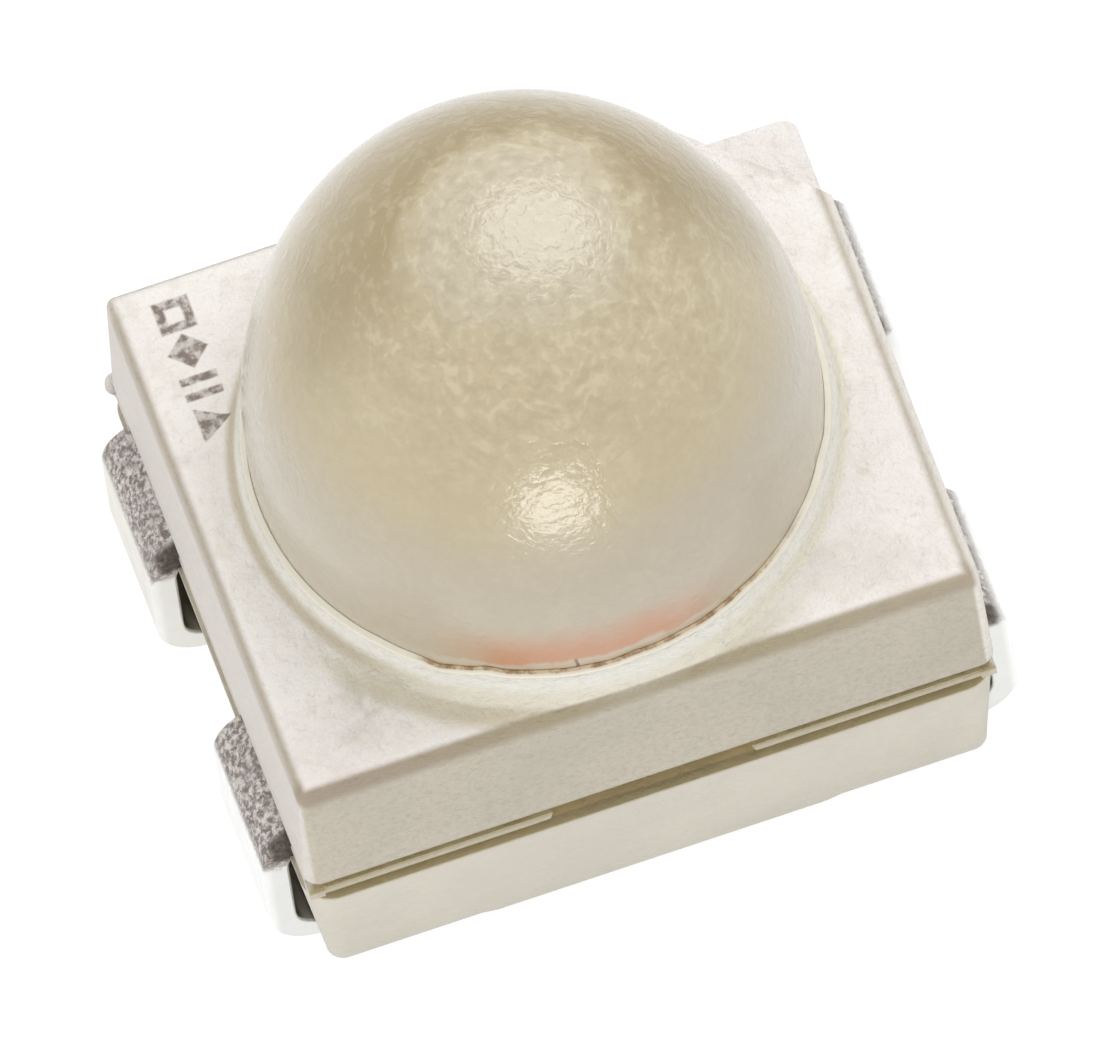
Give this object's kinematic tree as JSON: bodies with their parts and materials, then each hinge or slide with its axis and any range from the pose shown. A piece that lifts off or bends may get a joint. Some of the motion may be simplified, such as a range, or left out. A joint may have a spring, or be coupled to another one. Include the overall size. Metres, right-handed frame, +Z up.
{
  "type": "surface-mount led",
  "caption": "Four-lead surface-mount light-emitting diode: white moulded housing with a reflector cup, folded solder leads and a tall hazy dome lens.",
  "frame": {"origin": "on the plane of the solder feet, under the middle of the part", "axes": "+X from the two left leads to the two right leads, +Y from the front edge to the back edge, +Z up along the lens axis"},
  "size_m": [0.0034, 0.0028, 0.0035],
  "materials": {
    "housing_plastic": "satin",
    "tinned_lead": "satin",
    "chip_attach_paste": "matte",
    "chip_crystal": "satin",
    "gold_wire": "polished",
    "clear_filling": "gloss",
    "lens_bond": "gloss",
    "lens_resin": "satin"
  },
  "bodies": {
    "root": {"housing": "housing_plastic", "pad_lead_frame": "tinned_lead", "bond_lead_frame": "tinned_lead", "chip_attach": "chip_attach_paste", "led_chip": "chip_crystal", "bond_wire": "gold_wire", "cup_filling": "clear_filling", "lens_bond": "lens_bond", "dome_lens": "lens_resin"}
  },
  "joints": []
}
